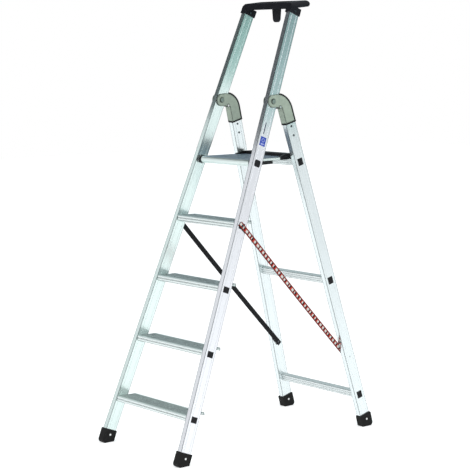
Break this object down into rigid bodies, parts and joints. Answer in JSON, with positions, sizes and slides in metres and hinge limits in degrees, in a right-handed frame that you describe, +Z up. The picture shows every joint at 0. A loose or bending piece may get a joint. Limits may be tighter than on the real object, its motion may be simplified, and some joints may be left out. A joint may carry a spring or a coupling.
{
  "type": "platform stepladder",
  "caption": "Folding aluminium platform stepladder with splayed stiles, ribbed treads, hinged platform, rear frame, tool tray and side straps.",
  "frame": {"origin": "middle of the footprint on the floor, ladder open", "axes": "+Z up, front (climbing side) towards -Y, X across the treads"},
  "size_m": [0.5546, 1.0778, 1.8447],
  "materials": {
    "bright_aluminium": "extruded, lightly brushed",
    "ribbed_aluminium": "ribbed extrusion",
    "cast_aluminium": "matt casting",
    "black_plastic": "moulded",
    "bearing_plastic": "smooth",
    "steel": "zinc plated",
    "webbing": "woven",
    "label": "plain sticker"
  },
  "bodies": {
    "front_frame": {"stile_left": "bright_aluminium", "stile_right": "bright_aluminium", "tread_1": "ribbed_aluminium", "tread_2": "ribbed_aluminium", "tread_3": "ribbed_aluminium", "tread_4": "ribbed_aluminium", "tread_plugs": "black_plastic", "axle_plugs": "black_plastic", "platform_axle": "bright_aluminium", "pivot_bush_left": "bearing_plastic", "pivot_bush_right": "bearing_plastic", "tool_tray": "black_plastic", "tray_rivets": "steel", "front_foot_left": "black_plastic", "front_foot_right": "black_plastic", "front_foot_rivets": "steel", "stile_label": "label", "strap_left": "webbing", "strap_right": "webbing", "strap_rivets_front": "steel"},
    "rear_frame": {"rear_leg_left": "bright_aluminium", "rear_leg_right": "bright_aluminium", "lower_rung": "ribbed_aluminium", "middle_rung": "ribbed_aluminium", "platform_support_rung": "ribbed_aluminium", "rung_plugs": "black_plastic", "hinge_casting_left": "cast_aluminium", "hinge_casting_right": "cast_aluminium", "hinge_cover_left": "black_plastic", "hinge_cover_right": "black_plastic", "pivot_pin_left": "steel", "pivot_pin_right": "steel", "leg_rivets": "steel", "stop_screws": "steel", "rear_foot_left": "black_plastic", "rear_foot_right": "black_plastic", "rear_foot_rivets": "steel", "strap_rivets_rear": "steel"},
    "platform": {"platform_deck": "ribbed_aluminium", "platform_cap_left": "black_plastic", "platform_cap_right": "black_plastic", "platform_rear_rail": "black_plastic"}
  },
  "joints": [
    {"name": "rear_frame_fold", "type": "hinge", "parent": "front_frame", "child": "rear_frame", "pos_m": [0, 0.04842, 1.42726], "axis": [-1, 0, 0], "range_deg": [0, 37], "deforming": ["strap_left", "strap_right"]},
    {"name": "platform_lift", "type": "hinge", "parent": "front_frame", "child": "platform", "pos_m": [0, -0.05016, 1.177], "axis": [1, 0, 0], "range_deg": [0, 62]}
  ],
  "couplings": [
    {"joint": "platform_lift", "follows": "rear_frame_fold", "ratio": 1.6757}
  ]
}
